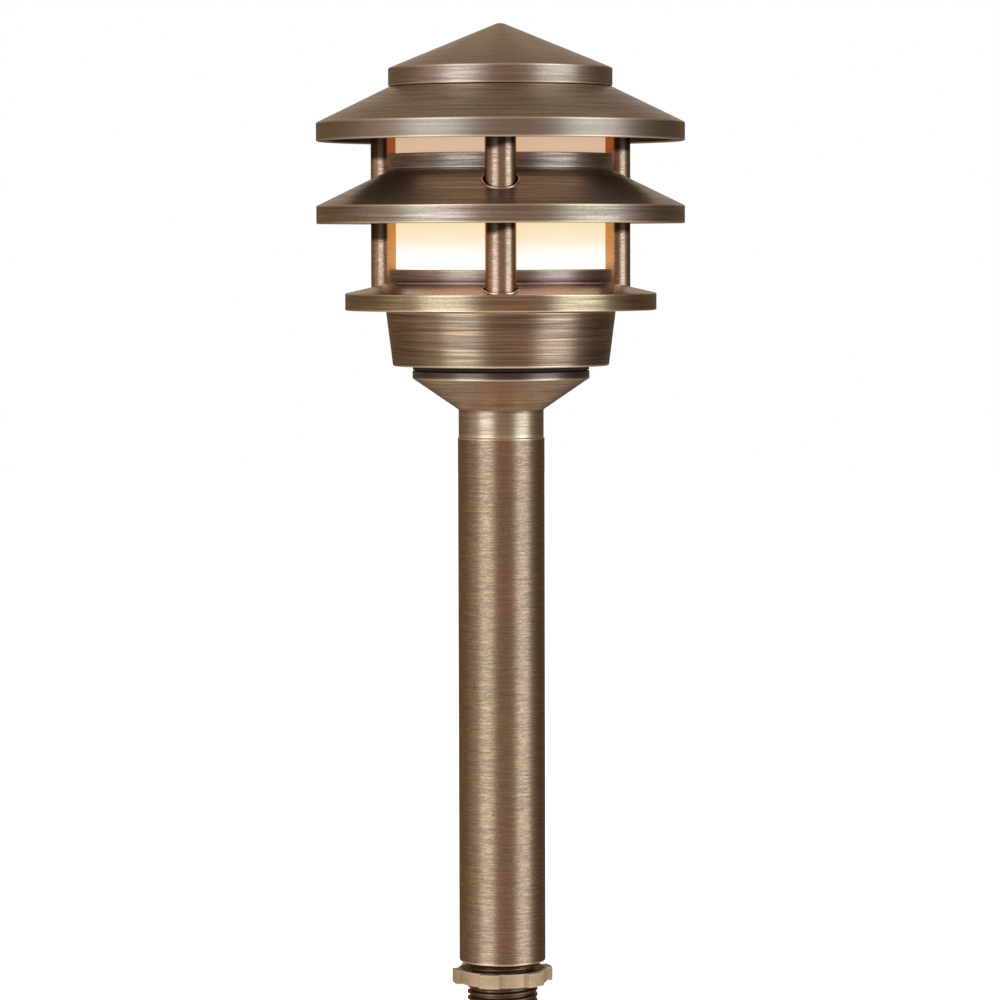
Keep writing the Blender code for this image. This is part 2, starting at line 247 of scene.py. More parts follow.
def stored(geometry, name, value, kind="FLOAT", domain="CORNER"):
    inputs = {"Geometry": geometry, "Name": name, "Value": value}
    return wire("GeometryNodeStoreNamedAttribute", inputs, data_type=kind, domain=domain)


def close_tree(geometry, finish):
    """Every tree ends alike: instances become real mesh, and the finish goes on."""
    real = wire("GeometryNodeRealizeInstances", {"Geometry": geometry})
    coated = wire("GeometryNodeSetMaterial", {"Geometry": real, "Material": finish})
    tree = geometry.id_data
    add_node(tree, "NodeGroupOutput", {"Mesh": coated})
    return tree


def lathe_tree():
    tree, given = new_tree("Lathe", wholes=["Facets"])
    drawn = wire("GeometryNodeMeshToCurve", {"Mesh": given["Mesh"]})
    stops = plus(given["Facets"], 1)
    sweep = {"Resolution": stops, "Sweep Angle": FULL_TURN}
    turn = wire("GeometryNodeCurveArc", sweep, "Curve")
    share = source(tree, "GeometryNodeSplineParameter", "Factor")
    path = stored(turn, "turn_share", share, domain="POINT")
    mesh = wire("GeometryNodeCurveToMesh", {"Curve": path, "Profile Curve": drawn})
    angle = times(named(tree, "turn_share"), FULL_TURN)
    across = sum_of("COSINE", angle)
    deep = sum_of("SINE", angle)
    radius = named(tree, "from_axis")
    place = point_at(times(across, radius), times(deep, radius), named(tree, "up"))
    mesh = wire("GeometryNodeSetPosition", {"Geometry": mesh, "Position": place})
    travel = point_at(across, deep, named(tree, "along"))
    mesh = stored(mesh, "turning", travel, "FLOAT_VECTOR")
    mesh = stored(mesh, "worn", named(tree, "proud"))
    unwrapped = point_at(named(tree, "turn_share"), named(tree, "along_share"), 0)
    mesh = stored(mesh, "unwrap", unwrapped, "FLOAT2")
    for helper in ("turn_share", "from_axis", "up", "along", "along_share", "proud"):
        mesh = wire("GeometryNodeRemoveAttribute", {"Geometry": mesh, "Name": helper})
    mesh = wire("GeometryNodeMergeByDistance", {"Geometry": mesh, "Distance": WELD})
    mesh = wire("GeometryNodeSetShadeSmooth", {"Geometry": mesh})
    return close_tree(mesh, given["Finish"])


LATHE = lathe_tree()
print("the lathe has", len(LATHE.nodes), "nodes")

# %% [markdown]
# ## From drawing to piece
# An outline becomes a loop of edges that carries its measures as attributes, the lathe tree swings
# it, and the evaluated result is taken as a plain mesh. The modifier goes with the helper object,
# so the finished piece holds nothing but its shape.

# %% Run trees and keep the plain mesh
def new_object(name, data):
    made = bpy.data.objects.new(name, data)
    bpy.context.scene.collection.objects.link(made)
    return made


def plain_mesh(piece):
    """The mesh that a piece has once its modifiers have run."""
    depsgraph = bpy.context.evaluated_depsgraph_get()
    return bpy.data.meshes.new_from_object(piece.evaluated_get(depsgraph))


def through_trees(name, mesh, steps):
    """The mesh after each (tree, inputs) step, as a new plain object at the origin."""
    helper = new_object(name + "_drawing", mesh)
    for tree, values in steps:
        modifier = helper.modifiers.new(tree.name, "NODES")
        modifier.node_group = tree
        for item in tree.interface.items_tree:  # an input answers to its identifier
            if item.in_out == "INPUT" and item.name in values:
                modifier[item.identifier] = values[item.name]
    plain = plain_mesh(helper)
    bpy.data.objects.remove(helper)
    plain.name = name
    return new_object(name, plain)


def drawing(name, points, closed):
    """An outline as a loop of edges, with its measures as attributes in metres."""
    last = len(points) - 1
    edges = [(index, index + 1) for index in range(last)] + ([(last, 0)] if closed else [])
    flat = [(radius * MM, height * MM + STEM_FOOT) for radius, height, _ in points]
    mesh = bpy.data.meshes.new(name + "_outline")
    mesh.from_pydata([(radius, 0, height) for radius, height in flat], edges, [])
    travelled = [0.0]
    for here, after in zip(points, points[1:]):
        travelled.append(travelled[-1] + math.dist(here[:2], after[:2]))
    measures = {
        "from_axis": [radius for radius, _ in flat],
        "up": [height for _, height in flat],
        "along": travelled,
        "along_share": [distance / travelled[-1] for distance in travelled],
        "proud": [point[2] for point in points],
    }
    for label, values in measures.items():
        mesh.attributes.new(label, "FLOAT", "POINT").data.foreach_set("value", values)
    return mesh


WIDE = 192  # facets round a roof
NARROW = 96  # facets round the stem


def turned(name, corners, finish, facets=WIDE, closed=True, more=(), points=None):
    """A piece from its corners; more is a list of further trees to run it through."""
    points = points or outline(corners, closed)
    steps = [(LATHE, {"Facets": facets, "Finish": finish}), *more]
    return through_trees(name, drawing(name, points, closed), steps)


# %% [markdown]
# ## Standing a piece for its node
# A made piece hides the plain node it replaces and rides on the body. A piece whose volume comes out
# negative would be inside out, so the volume is measured and printed each time.

# %% Hand a piece over to the frame
import bmesh

SHARP = math.radians(32)  # edges that turn more than this stay crisp


def hand_over(piece, slot, *nodes):
    piece.data.set_sharp_from_angle(angle=SHARP)
    shape = bmesh.new()
    shape.from_mesh(piece.data)
    volume = shape.calc_volume(signed=True) * 1e6
    loose = sum(1 for edge in shape.edges if not edge.is_manifold)
    shape.free()
    triangles = sum(len(face.vertices) - 2 for face in piece.data.polygons)
    print(f"{piece.name}: {triangles} triangles, {volume:.2f} cm3, {loose} open edges")
    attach(piece, "root")
    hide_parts(*nodes)


# %% [markdown]
# ## Brushed antique brass
# The brass is brushed on the lathe with an abrasive pad, darkened with a patina, rubbed back and
# lacquered. Three things make it read as that and not as brown paint:
#
# 1. Streaks that run round the piece. The noise is stretched along the stored tool direction, so
#    they follow cones, flats and rims alike, and they change colour, gloss and relief together.
# 2. Anisotropy. Fine grooves spread a reflection across themselves, so a softbox becomes a long
#    upright band on a rim and a fan on a cone. The tangent comes from the unwrap.
# 3. Edges rubbed back to lighter, more golden metal where they stand proud.

# %% Pieces that every finish is made from
def new_finish(name):
    """A material with its shader, and a wire with the place on the piece in metres."""
    material = bpy.data.materials.new(name)
    material.use_nodes = True
    tree = material.node_tree
    print("finish:", name)
    return material, tree.nodes["Principled BSDF"], source(tree, "ShaderNodeTexCoord", "Object")


def attribute(tree, name, output):
    return source(tree, "ShaderNodeAttribute", output, attribute_name=name)


def noise(vector, detail):
    inputs = {"Vector": vector, "Scale": 1.0, "Detail": detail, "Roughness": 0.5}
    return wire("ShaderNodeTexNoise", inputs, "Fac")


def speckle(where, size, detail, seed=0.0):
    """Noise with spots of a size in millimetres; the seed gives each piece its own."""
    inputs = {"Vector": where, "Scale": (1 / (size * MM),) * 3, "Location": (seed,) * 3}
    return noise(wire("ShaderNodeMapping", inputs), detail)


def relief(height, strength, depth):
    """Bump of a depth in millimetres."""
    inputs = {"Strength": strength, "Distance": depth * MM, "Height": height}
    return wire("ShaderNodeBump", inputs)


def blend(share, first, second, kind="MIX"):
    """Two colours blended; each is three numbers or a wire."""
    inputs = {0: share, 6: first, 7: second}
    for socket, value in inputs.items():
        if isinstance(value, tuple):
            inputs[socket] = (*value, 1.0)
    return wire("ShaderNodeMix", inputs, 2, data_type="RGBA", blend_type=kind)


def shade(colour, factor):
    return tuple(min(1.0, part * factor) for part in colour)


# %% Straight scratches
ROW_STEP = 1.7  # far enough apart in the noise that no row looks like the next


def hairlines(travel, radius, length, width, seed):
    """Rows of scratches; each row along the tool's path has a noise of its own."""
    split = split_up(travel)
    row = sum_of("FLOOR", over(split["Z"], width))
    reach_round = radius / length
    line = point_at(times(split["X"], reach_round), times(split["Y"], reach_round),
                    times_plus(row, ROW_STEP, seed))
    return ramp(noise(line, detail=1.0), 0.30, 0.70)


# %% The brushed brass itself
RUBBED_BRASS = (0.96, 0.80, 0.56)
EDGE_TINT = (0.80, 0.60, 0.40)  # how little the metal whitens where it turns away
NICK_LENGTH = 0.9
LINE_DEPTH = 0.03
CLOUD_SIZE = 24.0
CLOUD_HUES = ((1.05, 0.98, 1.02), (0.95, 0.98, 0.91))


def brushed_brass(name, colour, radius, seed, length=14.0, width=0.26, mix=(0.5, 0.2, 0.3),
                  contrast=0.9, gloss=0.38, lacquer=0.8, clouding=1.0, calmer=None, changes=()):
    """Brushed patina; radius, streak length and streak width in millimetres.

    mix shares the pattern out between long lines, short nicks and wide lines, and clouding is how
    much the hue drifts. calmer is a mask and the share of the streaks that is left where the mask
    is 0. changes is a list of (mask, colour). A mask is called with the place in metres.
    """
    material, shader, where = new_finish(name)
    tree = shader.id_data
    travel = attribute(tree, "turning", "Vector")
    lines = [
        hairlines(travel, radius, length, width, seed),
        hairlines(travel, radius, NICK_LENGTH, width * 0.9, seed * 3),
        hairlines(travel, radius, length * 1.8, width * 2.2, seed * 2),
    ]
    streaks = 0.0
    for line, share in zip(lines, mix):
        streaks = times_plus(line, share, streaks)
    if calmer:
        mask, share = calmer
        left = ramp(mask(where), 0.0, 1.0, share, 1.0)
        about_middle = minus(streaks, 0.5)
        streaks = times_plus(about_middle, left, 0.5)
    bright_lines = sum_of("POWER", streaks, 1.7)  # fewer light lines on a darker ground
    dark = shade(colour, 1 - 0.40 * contrast)
    metal = blend(bright_lines, dark, shade(colour, 1 + 0.90 * contrast))
    clouds = ramp(speckle(where, CLOUD_SIZE, 1.0, seed), 0.36, 0.64)
    metal = blend(clouding, metal, blend(clouds, *CLOUD_HUES), "MULTIPLY")
    for mask, changed in changes:
        metal = blend(mask(where), metal, changed)
    worn = attribute(tree, "worn", "Fac")
    rubbing = times(worn, ramp(lines[2], 0.0, 0.8, 0.65, 1.0))
    plug(shader, {
        "Base Color": blend(rubbing, metal, RUBBED_BRASS),
        "Metallic": 1.0,
        "Roughness": ramp(streaks, 0.2, 0.8, gloss + 0.09, gloss - 0.08),
        "Specular Tint": (*EDGE_TINT, 1.0),
        "Normal": relief(streaks, 0.4, LINE_DEPTH),
        "Anisotropic": 0.70,
        "Anisotropic Rotation": 0.25,
        "Tangent": source(tree, "ShaderNodeTangent", direction_type="UV_MAP", uv_map="unwrap"),
        "Coat Weight": lacquer,
        "Coat IOR": 1.8,
        "Coat Roughness": 0.3,
    })
    return material


# %% Masks that say where a finish changes
# Near-black brass, laid on the insides of the roofs as painted shade.
PAINTED_UNDERSIDE_SHADE = (0.06, 0.036, 0.026)


def height_mask(start, end):
    """Rises from start to end, in heights above the stem's foot."""
    return lambda where: ramp(split_up(where)["Z"], STEM_FOOT + start * MM, STEM_FOOT + end * MM)


def partly(mask, share):
    """The same mask, laid on only thinly."""
    return lambda where: times(mask(where), share)


def painted_shade_beyond(corners, first):
    """Painted shade on what lies beyond the given corner of an outline, such as the inside of a roof."""
    run = sum(math.dist(here[:2], after[:2]) for here, after in zip(corners[:first], corners[1:]))

    def mask(where):
        along = split_up(attribute(where.id_data, "turning", "Vector"))["Z"]
        return ramp(along, run + 0.4, run + 0.9)
    return mask


# %% [markdown]
# ## Cast brass
# The nut and the threaded nipple aren't brushed. They come from a mould and a die, so their skin is
# even and matt, with a fine grain and soft blotches instead of streaks.

# %% Cast brass
CAST_GRAIN = 0.35
BLOTCH_SIZE = 5.0


def cast_brass(name, colour, metallic, roughness, seed, rubbed):
    material, shader, where = new_finish(name)
    grain = speckle(where, CAST_GRAIN, 2.0, seed)
    blotch = speckle(where, BLOTCH_SIZE, 2.0, seed)
    mottled = times_plus(grain, 0.45, times(blotch, 0.55))
    mottled = ramp(mottled, 0.36, 0.64)
    metal = blend(mottled, shade(colour, 0.80), shade(colour, 1.14))
    plug(shader, {
        "Base Color": blend(attribute(shader.id_data, "worn", "Fac"), metal, rubbed),
        "Metallic": metallic,
        "Roughness": ramp(mottled, 0.0, 1.0, roughness + 0.06, roughness - 0.05),
        "Specular Tint": (*EDGE_TINT, 1.0),
        "Normal": relief(grain, 0.4, 0.04),
    })
    return material


# %% [markdown]
# ## Cap
# The cap is a low cone on a straight band. Its tip isn't a needle: a turned point is always
# rounded a little, so the outline starts with a short arc. Inside, a boss and a spigot locate it in
# the upper roof.

# %% Turn the cap
GAP = 0.3  # air between two pieces that rest on each other
WALL = 2.5
CAP_SLOPE = math.radians(22.32)
CAP_BAND_HEIGHT = 5.35
CAP_BOSS = 6.0
CAP_SPIGOT = 3.7
TIP_RADIUS = 4.0
RIM_EASING = 0.42


def cone(edge_radius, edge_height, slope):
    """Gives the height of a coned surface at any radius, from the edge that it rises from."""
    return lambda radius: edge_height + (edge_radius - radius) * math.tan(slope)


def rounded_tip(point, slope, tip_radius, steps=4):
    """Points from the axis down to where the tip's arc meets the cone."""
    centre = point - tip_radius / math.cos(slope)
    turns = [slope * step / steps for step in range(steps + 1)]
    return [(tip_radius * math.sin(turn), centre + tip_radius * math.cos(turn), 0.6) for turn in turns]


cap_foot = high("upper_roof") + GAP
cap_radius = reach("cap")
cap_inner = cap_radius - WALL
cap_edge = cap_foot + CAP_BAND_HEIGHT
cap_cone = cone(cap_radius, cap_edge, CAP_SLOPE)
cap_ceiling = cone(cap_radius, cap_edge - WALL / math.cos(CAP_SLOPE), CAP_SLOPE)
cap_corners = [
    (0, cap_cone(0)), (cap_radius, cap_edge, RIM_EASING), (cap_radius, cap_foot, RIM_EASING),
    (cap_inner, cap_foot), (cap_inner, cap_ceiling(cap_inner)),
    (CAP_BOSS, cap_ceiling(CAP_BOSS)), (CAP_BOSS, cap_foot),
    (CAP_SPIGOT, cap_foot), (CAP_SPIGOT, low("cap"), 0.3), (0, low("cap")),
]
tip = rounded_tip(cap_cone(0), CAP_SLOPE, TIP_RADIUS)
cap_finish = brushed_brass("brushed_cap", (0.52, 0.39, 0.305), 28, 3.1, gloss=0.41, contrast=0.8)
cap = turned("turned_cap", None, cap_finish, closed=False,
             points=tip + outline(cap_corners, closed=False)[1:])
hand_over(cap, "antique_brass", "cap")

# %% [markdown]
# ## What repeats round the post circle
# Three posts, their seats, bosses and screws all stand on one circle, a third of a turn apart. One
# tree sets copies of a mesh round that circle and turns each to face outwards. It also shifts the
# stored streak position of each copy, so that no two posts carry the same scratches.

# %% Build the post circle tree
POST_CIRCLE = 39.3
POST_COUNT = 3
FIRST_POST = -math.pi / 2  # at the front
STREAK_SHIFT = 41.0


def post_circle_tree():
    tree, given = new_tree("Round the post circle", ["Copies"], ["Circle radius", "First angle"])
    centred = {"Vertices": given["Copies"], "Radius": given["Circle radius"]}
    circle = wire("GeometryNodeMeshCircle", centred)
    turn = point_at(0, 0, given["First angle"])
    circle = wire("GeometryNodeTransform", {"Geometry": circle, "Rotation": turn})
    which = source(tree, "GeometryNodeInputIndex")
    spacing = over(FULL_TURN, given["Copies"])
    angle = times_plus(which, spacing, given["First angle"])
    facing = point_at(0, 0, angle)
    copies = {"Points": circle, "Instance": given["Mesh"], "Rotation": facing}
    standing = wire("GeometryNodeInstanceOnPoints", copies)
    standing = stored(standing, "copy_number", which, domain="INSTANCE")
    real = wire("GeometryNodeRealizeInstances", {"Geometry": standing})
    shift = point_at(0, 0, times(named(tree, "copy_number"), STREAK_SHIFT))
    moved = vector_sum("ADD", named(tree, "turning", "FLOAT_VECTOR"), shift)
    real = stored(real, "turning", moved, "FLOAT_VECTOR")
    return close_tree(real, given["Finish"])


POST_RING = post_circle_tree()


def turned_thrice(name, corners, finish, facets, closed=False):
    """A piece turned once and set three times round the post circle."""
    ring = {"Copies": POST_COUNT, "Circle radius": POST_CIRCLE * MM, "First angle": FIRST_POST,
            "Finish": finish}
    return turned(name, corners, finish, facets, closed, more=[(POST_RING, ring)])


print("posts stand", round(POST_CIRCLE, 1), "mm from the axis")

# %% [markdown]
# ## Cutting and joining
# Seats and holes are cut with the Boolean modifier, as a mill would cut them. The cutter's mouth
# has to follow the roof's slope so that its edge is eased evenly all the way round: the cutter is
# drawn with the slope as a level line, and its upper points are then lifted to the real slope.

# %% Helpers for the mill
SLOPE_LINE = 1000.0  # heights drawn near this line are later moved onto the slope


def lay_on_slope(tool, slope_height, floor):
    """Moves the points drawn about the slope line onto the slope, but keeps them above the floor."""
    for vertex in tool.data.vertices:
        drawn = (vertex.co.z - STEM_FOOT) / MM - SLOPE_LINE
        if abs(drawn) < 100:
            radius = math.hypot(vertex.co.x, vertex.co.y) / MM
            height = max(slope_height(radius) + drawn, floor + 0.1 + 0.05 * drawn)
            vertex.co.z = STEM_FOOT + height * MM


def milled(piece, tool, operation="DIFFERENCE", slope=None, floor=0.0):
    """Cuts the tool out of the piece or joins it on, and leaves a plain mesh again."""
    if slope:
        lay_on_slope(tool, slope, floor)
    modifier = piece.modifiers.new("mill", "BOOLEAN")
    modifier.object = tool
    modifier.operation = operation
    modifier.solver = "EXACT"
    cut = plain_mesh(piece)
    cut.name = piece.name
    piece.modifiers.remove(modifier)
    piece.data = cut
    print(f"{piece.name}: {operation.lower()} with {tool.name}")
    bpy.data.objects.remove(tool)


# %% [markdown]
# ## Upper roof
# A flat top carries the cap, a cone falls to a straight rim, and the underside is hollow. Three
# bosses under it take the posts.

# %% Turn the upper roof and join its bosses
VIOLET_BRASS = (0.50, 0.355, 0.275)
ROOF_SLOPE = math.radians(26)
UPPER_RIM = 5.4
BOSS_RADIUS = 6.8
SCREW_HOLE = 2.3
CAP_HOLE = 4.0
ceiling_drop = WALL / math.cos(ROOF_SLOPE)


def roof_corners(top_corners, rim_radius, rim_top, rim_foot, ceiling_corners):
    inner = rim_radius - WALL
    ceiling = cone(rim_radius, rim_top - ceiling_drop, ROOF_SLOPE)
    return [
        *top_corners,
        (rim_radius, rim_top, RIM_EASING), (rim_radius, rim_foot, RIM_EASING),
        (inner, rim_foot, 0.3), (inner, ceiling(inner), 0.6),
        *ceiling_corners,
    ]


def bosses(name, foot, finish):
    """Bosses whose upper ends lie half way into the roof's wall."""
    top = SLOPE_LINE - ceiling_drop / 2
    corners = [(0, top), (BOSS_RADIUS, top, 0), (BOSS_RADIUS, foot, 0.4), (0, foot)]
    return turned_thrice(name, corners, finish, 48)


roof_radius = reach("upper_roof")
upper_rim_foot, upper_flat = ends("upper_roof")
upper_rim_top = upper_rim_foot + UPPER_RIM
flat_edge = roof_radius - (upper_flat - upper_rim_top) / math.tan(ROOF_SLOPE)
ceiling_edge = roof_radius - (upper_flat - WALL + ceiling_drop - upper_rim_top) / math.tan(ROOF_SLOPE)
upper_corners = roof_corners(
    [(CAP_HOLE, upper_flat), (flat_edge, upper_flat, 0.5)],
    roof_radius, upper_rim_top, upper_rim_foot,
    [(ceiling_edge, upper_flat - WALL, 0.5), (CAP_HOLE, upper_flat - WALL)],
)
upper_finish = brushed_brass(
    "brushed_upper_roof", VIOLET_BRASS, 45, 7.7, length=18, mix=(0.4, 0.25, 0.35), contrast=1.5,
    gloss=0.41, calmer=(height_mask(upper_rim_top - 0.2, upper_rim_top + 0.2), 0.28),
    changes=[(painted_shade_beyond(upper_corners, 3), PAINTED_UNDERSIDE_SHADE)],
)
upper_roof = turned("turned_upper_roof", upper_corners, upper_finish)
upper_slope = cone(roof_radius, upper_rim_top, ROOF_SLOPE)
upper_boss_foot = high("upper_post_front") + GAP
milled(upper_roof, bosses("upper_bosses", upper_boss_foot, upper_finish), "UNION", upper_slope)
screw_top = high("tie_screw_front")
milled(upper_roof, turned_thrice("upper_holes", [
    (0, screw_top + GAP), (SCREW_HOLE, screw_top + GAP, 0.2),
    (SCREW_HOLE, upper_boss_foot - 2, 0), (0, upper_boss_foot - 2),
], upper_finish, 32))
hand_over(upper_roof, "antique_brass", "upper_roof")

# %% [markdown]
# ## Middle roof
# The same cone and rim, but with a neck band that the glass passes through. A fine relief groove
# runs round the foot of the band. The posts stand in round seats milled straight down into the
# cone, and a fine raised lip round each seat shows as a bright line.

# %% Turn the middle roof and mill its seats
MIDDLE_RIM = 5.2
SEAT_RADIUS = 5.1
LIP_WIDTH = 0.42
LIP_RISE = 0.34
LIP_INNER = SEAT_RADIUS - 0.4
GROOVE = 0.45
middle_rim_foot, middle_top = ends("middle_roof")
middle_rim_top = middle_rim_foot + MIDDLE_RIM
band_radius = reach("cap")
middle_bore = reach("glass_cylinder") + 0.4
middle_slope = cone(roof_radius, middle_rim_top, ROOF_SLOPE)
groove_top = middle_slope(band_radius) + GROOVE
middle_corners = roof_corners(
    [
        (middle_bore, middle_top), (band_radius, middle_top, 0.35), (band_radius, groove_top, 0.2),
        (band_radius - GROOVE, groove_top - 0.12, 0.08),
        (band_radius - GROOVE, middle_slope(band_radius) - 0.05, 0.08),
        (band_radius + 0.1, middle_slope(band_radius + 0.1), 0.1),
    ],
    roof_radius, middle_rim_top, middle_rim_foot,
    [(middle_bore, middle_slope(middle_bore) - ceiling_drop, 0.2)],
)
# The neck band above the groove is laid a little darker, as painted shade under the upper roof.
middle_finish = brushed_brass(
    "brushed_middle_roof", VIOLET_BRASS, 45, 12.4, length=20, mix=(0.4, 0.2, 0.4), contrast=1.4,
    calmer=(height_mask(middle_rim_top - 0.2, middle_rim_top + 0.2), 0.8),
    changes=[
        (painted_shade_beyond(middle_corners, 7), PAINTED_UNDERSIDE_SHADE),
        (partly(height_mask(groove_top - 0.1, groove_top + 0.1), 0.35), (0.12, 0.075, 0.065)),
    ],
)
middle_roof = turned("turned_middle_roof", middle_corners, middle_finish)


def lips(name, finish):
    """Fine raised rings round the seats, rubbed bright."""
    edge = SEAT_RADIUS + LIP_WIDTH
    return turned_thrice(name, [
        (LIP_INNER, SLOPE_LINE + LIP_RISE, 0, 1.0), (edge, SLOPE_LINE + LIP_RISE, 0.2, 1.0),
        (edge + 0.02, SLOPE_LINE - 0.05, 0, 1.0), (edge + 0.02, SLOPE_LINE - 0.6, 0),
        (LIP_INNER, SLOPE_LINE - 0.6, 0),
    ], finish, 64, closed=True)


def seats(name, floor, finish, below):
    """Cutters for the seats: a mouth on the slope, a flat floor, and what is cut below it."""
    mouth = SLOPE_LINE + 3
    return turned_thrice(name, [
        (0, mouth), (SEAT_RADIUS, mouth, 0), (SEAT_RADIUS, floor, 0), (SCREW_HOLE, floor, 0), *below,
    ], finish, 64)


middle_boss_foot = high("lower_post_front") + GAP
middle_seat = low("upper_post_front") - GAP
through = middle_boss_foot - 2
milled(middle_roof, bosses("middle_bosses", middle_boss_foot, middle_finish), "UNION", middle_slope)
milled(middle_roof, lips("middle_lips", middle_finish), "UNION", middle_slope)
middle_cutters = seats("middle_seats", middle_seat, middle_finish, [(SCREW_HOLE, through, 0), (0, through)])
milled(middle_roof, middle_cutters, slope=middle_slope, floor=middle_seat)
hand_over(middle_roof, "antique_brass", "middle_roof")

# %% [markdown]
# ## Plate
# The thick plate carries the glass and everything above it. Its top is a very low cone, so rain
# runs off. It has seats for the lower posts, and from below the countersinks for the screws.

# %% Turn the plate and mill its seats
PLATE_SLOPE = math.radians(13)
PLATE_BORE = 22.0
plate_radius = reach("glass_plate")
plate_foot, plate_top = ends("glass_plate")
plate_inner = reach("glass_ring") + 0.4
plate_rim_top = plate_top - (plate_radius - plate_inner) * math.tan(PLATE_SLOPE)
# The top of the plate nearer the glass is tinted warm, as a painted reflection of the glowing glass.
plate_finish = brushed_brass(
    "brushed_plate", (0.56, 0.355, 0.21), 40, 21.3, length=18, gloss=0.25, contrast=1.3,
    changes=[(partly(height_mask(plate_rim_top + 0.3, plate_rim_top + 1.2), 0.7), (0.97, 0.53, 0.42))],
)
glass_plate = turned("turned_plate", [
    (PLATE_BORE, plate_top, 0.3), (plate_inner, plate_top, 0.3),
    (plate_radius, plate_rim_top, RIM_EASING), (plate_radius, plate_foot, RIM_EASING),
    (PLATE_BORE, plate_foot, 0.3),
], plate_finish)
plate_cone = cone(plate_radius, plate_rim_top, PLATE_SLOPE)


def plate_slope(radius):
    return plate_cone(max(radius, plate_inner))


POST_REACH = POST_CIRCLE * math.cos(math.radians(30))  # how far right the right-hand post stands
plate_seat = low("lower_post_front") - GAP
screw_head = reach("tie_screw_back_right") - POST_REACH
sink = screw_head + GAP
milled(glass_plate, lips("plate_lips", plate_finish), "UNION", plate_slope)
milled(glass_plate, seats("plate_seats", plate_seat, plate_finish, [
    (SCREW_HOLE, plate_foot + sink - SCREW_HOLE, 0), (sink + 1, plate_foot - 1, 0), (0, plate_foot - 1),
]), slope=plate_slope, floor=plate_seat)
hand_over(glass_plate, "antique_brass", "glass_plate")

# %% [markdown]
# ## Housing, ring, collar and stem
# These are plain turned pieces. The housing tapers a little towards its rounded foot, and the
# collar runs from a thin disc down a cone to a neck that the stem meets in a fine dark joint.

# %% Turn the housing and the ring
HOUSING_WALL = 2.7
HOUSING_TAPER = 2.0
HOUSING_FLOOR = 3.0
housing_finish = brushed_brass("brushed_housing", (0.34, 0.225, 0.132), 32, 28.8, length=24,
                               mix=(0.6, 0.1, 0.3), contrast=1.6, gloss=0.33)
housing_radius = reach("lamp_housing")
housing_hole = 9.8
housing_foot, housing_top = ends("lamp_housing")
hand_over(turned("turned_housing", [
    (housing_radius - HOUSING_WALL, housing_top, 0.2), (housing_radius, housing_top, 0.3),
    (housing_radius - HOUSING_TAPER, housing_foot, 0.55),
    (housing_hole, housing_foot), (housing_hole, housing_foot + HOUSING_FLOOR),
    (housing_radius - HOUSING_TAPER - HOUSING_WALL, housing_foot + HOUSING_FLOOR, 0.6),
], housing_finish), "antique_brass", "lamp_housing")

ring_radius = reach("glass_ring")
ring_bore = reach("glass_cylinder") + GAP
ring_top = high("glass_ring")
ring_foot = plate_top + 0.05
# The ring is darkened at its foot, as painted shade where it meets the plate.
ring_finish = brushed_brass(
    "brushed_ring", (0.45, 0.32, 0.25), 32, 35.2, gloss=0.42, contrast=0.85,
    changes=[(partly(height_mask(ring_foot + 1.8, ring_foot + 0.7), 0.9), (0.07, 0.04, 0.036))],
)
hand_over(turned("turned_ring", [
    (ring_bore, ring_top, 0.2), (ring_radius, ring_top, 0.35),
    (ring_radius, ring_foot, 0.15), (ring_bore, ring_foot, 0.1),
], ring_finish), "antique_brass", "glass_ring")

# %% Turn the collar
GOLDEN_BRASS = (0.465, 0.292, 0.20)
SPIGOT = 10.1
NECK_RADIUS = 12.46
INNER_TUBE = (7.0, 9.5)  # bore and radius of the tube that stands up into the housing
collar_disc = reach("stem_collar")
collar_top = low("housing_seal") - GAP
tube_top = high("stem_collar")
neck_foot = high("stem") + GAP
# The collar's disc is darkened towards its top, as painted shade under the housing.
collar_finish = brushed_brass(
    "brushed_collar", GOLDEN_BRASS, 18, 43.9, length=16, contrast=1.5, gloss=0.37,
    changes=[(height_mask(collar_top - 2.3, collar_top - 1.2), (0.13, 0.075, 0.07))],
)
hand_over(turned("turned_collar", [
    (INNER_TUBE[0], tube_top, 0.3), (INNER_TUBE[1], tube_top, 0.3), (INNER_TUBE[1], collar_top),
    (collar_disc, collar_top, 0.12, -1.0), (collar_disc, collar_top - 2.2, 0.35),
    (NECK_RADIUS, collar_top - 11.4, 0.5), (NECK_RADIUS, collar_top - 12.2, 0, 0.35),
    (NECK_RADIUS, neck_foot + 1.1, 0, 0.35), (NECK_RADIUS, neck_foot - 0.26, 0.32, 1.0),
    (SPIGOT, neck_foot - 0.26), (SPIGOT, low("stem_collar"), 0.3),
    (INNER_TUBE[0], low("stem_collar"), 0.3),
], collar_finish), "antique_brass", "stem_collar")

# %% Turn the stem, with a small old mark on it
STEM_BORE = 10.4
SCUFF_ANGLE = math.radians(-129.6)
SCUFF_HEIGHT = 0.535 * high("stem")
SCUFF_SIZE = (0.35, 0.35, 2.7)
stem_radius = reach("stem")
stem_top = high("stem")


def scuff(where):
    """A small dark mark left on the stem, upright and narrow."""
    middle = [stem_radius * math.cos(SCUFF_ANGLE) * MM, stem_radius * math.sin(SCUFF_ANGLE) * MM,
              STEM_FOOT + SCUFF_HEIGHT * MM]
    scale = [1 / (size * MM) for size in SCUFF_SIZE]
    location = [-place * factor for place, factor in zip(middle, scale)]
    inputs = {"Vector": where, "Scale": scale, "Location": location}
    distance = length_of(wire("ShaderNodeMapping", inputs))
    return ramp(distance, 1.0, 0.4, 0.0, 0.6)


